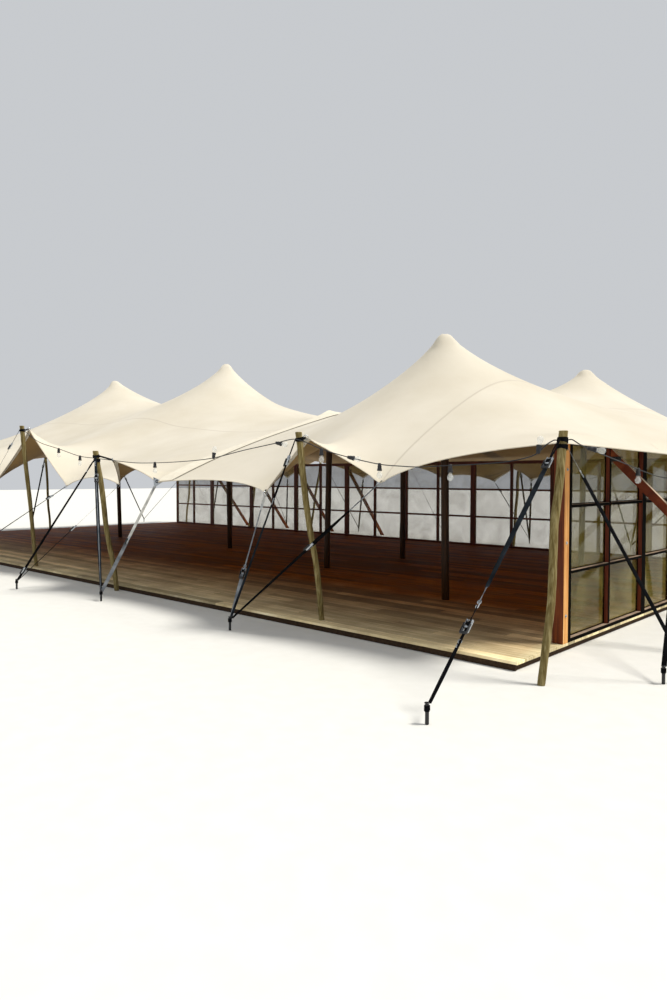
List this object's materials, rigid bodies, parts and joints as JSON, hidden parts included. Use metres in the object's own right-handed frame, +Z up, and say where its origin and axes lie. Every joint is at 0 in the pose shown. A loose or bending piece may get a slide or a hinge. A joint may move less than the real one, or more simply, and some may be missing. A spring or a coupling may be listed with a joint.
{
  "type": "stretch tent with timber floor and window walls",
  "caption": "Stretch-fabric tent on timber poles and guyed stakes, with raised peaks, a low timber floor and window walls on two sides.",
  "frame": {"origin": "on the ground under the middle of the floor, which is the middle of the stakes' outline", "axes": "+X to the viewer's right along the open front, -Y out of the open front, +Z up"},
  "size_m": [22.364, 13.164, 4.203],
  "materials": {
    "deck_timber": "worn",
    "fabric": "matte",
    "dark_timber": "satin",
    "pole_timber": "weathered",
    "webbing": "matte",
    "frame_timber": "satin",
    "window_glass": "clear",
    "post_timber": "satin",
    "cable": "matte"
  },
  "bodies": {
    "root": {"floor_deck": "deck_timber", "canopy_right": "fabric", "canopy_left": "fabric", "inner_pole_right_front": "dark_timber", "inner_pole_right_rear": "dark_timber", "inner_pole_join_front": "dark_timber", "inner_pole_join_rear": "dark_timber", "inner_pole_left_near": "dark_timber", "inner_pole_left_far": "dark_timber", "edge_pole_front_1": "pole_timber", "edge_pole_front_2": "pole_timber", "edge_pole_front_3": "pole_timber", "edge_pole_front_4": "pole_timber", "edge_pole_front_5": "pole_timber", "edge_pole_front_6": "pole_timber", "edge_pole_front_7": "pole_timber", "edge_pole_left": "pole_timber", "edge_pole_rear_7": "pole_timber", "edge_pole_rear_6": "pole_timber", "edge_pole_rear_5": "pole_timber", "edge_pole_rear_4": "pole_timber", "edge_pole_rear_3": "pole_timber", "edge_pole_rear_2": "pole_timber", "edge_pole_rear_1": "pole_timber", "edge_pole_right": "pole_timber", "guy_front_1": "webbing", "guy_front_2": "webbing", "guy_front_3": "webbing", "guy_front_4": "webbing", "guy_front_5": "webbing", "guy_front_6": "webbing", "guy_front_7": "webbing", "guy_front_8": "webbing", "guy_left_1": "webbing", "guy_left_2": "webbing", "guy_left_3": "webbing", "guy_rear_8": "webbing", "guy_rear_7": "webbing", "guy_rear_6": "webbing", "guy_rear_5": "webbing", "guy_rear_4": "webbing", "guy_rear_3": "webbing", "guy_rear_1": "webbing", "guy_right_4": "webbing", "guy_right_3": "webbing", "guy_right_2": "webbing", "guy_right_1": "webbing", "back_window_frame_left": "frame_timber", "back_window_frame_middle": "frame_timber", "back_window_frame_right": "frame_timber", "back_window_glass": "window_glass", "right_window_frame": "frame_timber", "right_window_glass": "window_glass", "corner_post": "post_timber", "lamp_cable_front": "cable", "lamp_cable_side": "cable"}
  },
  "joints": []
}
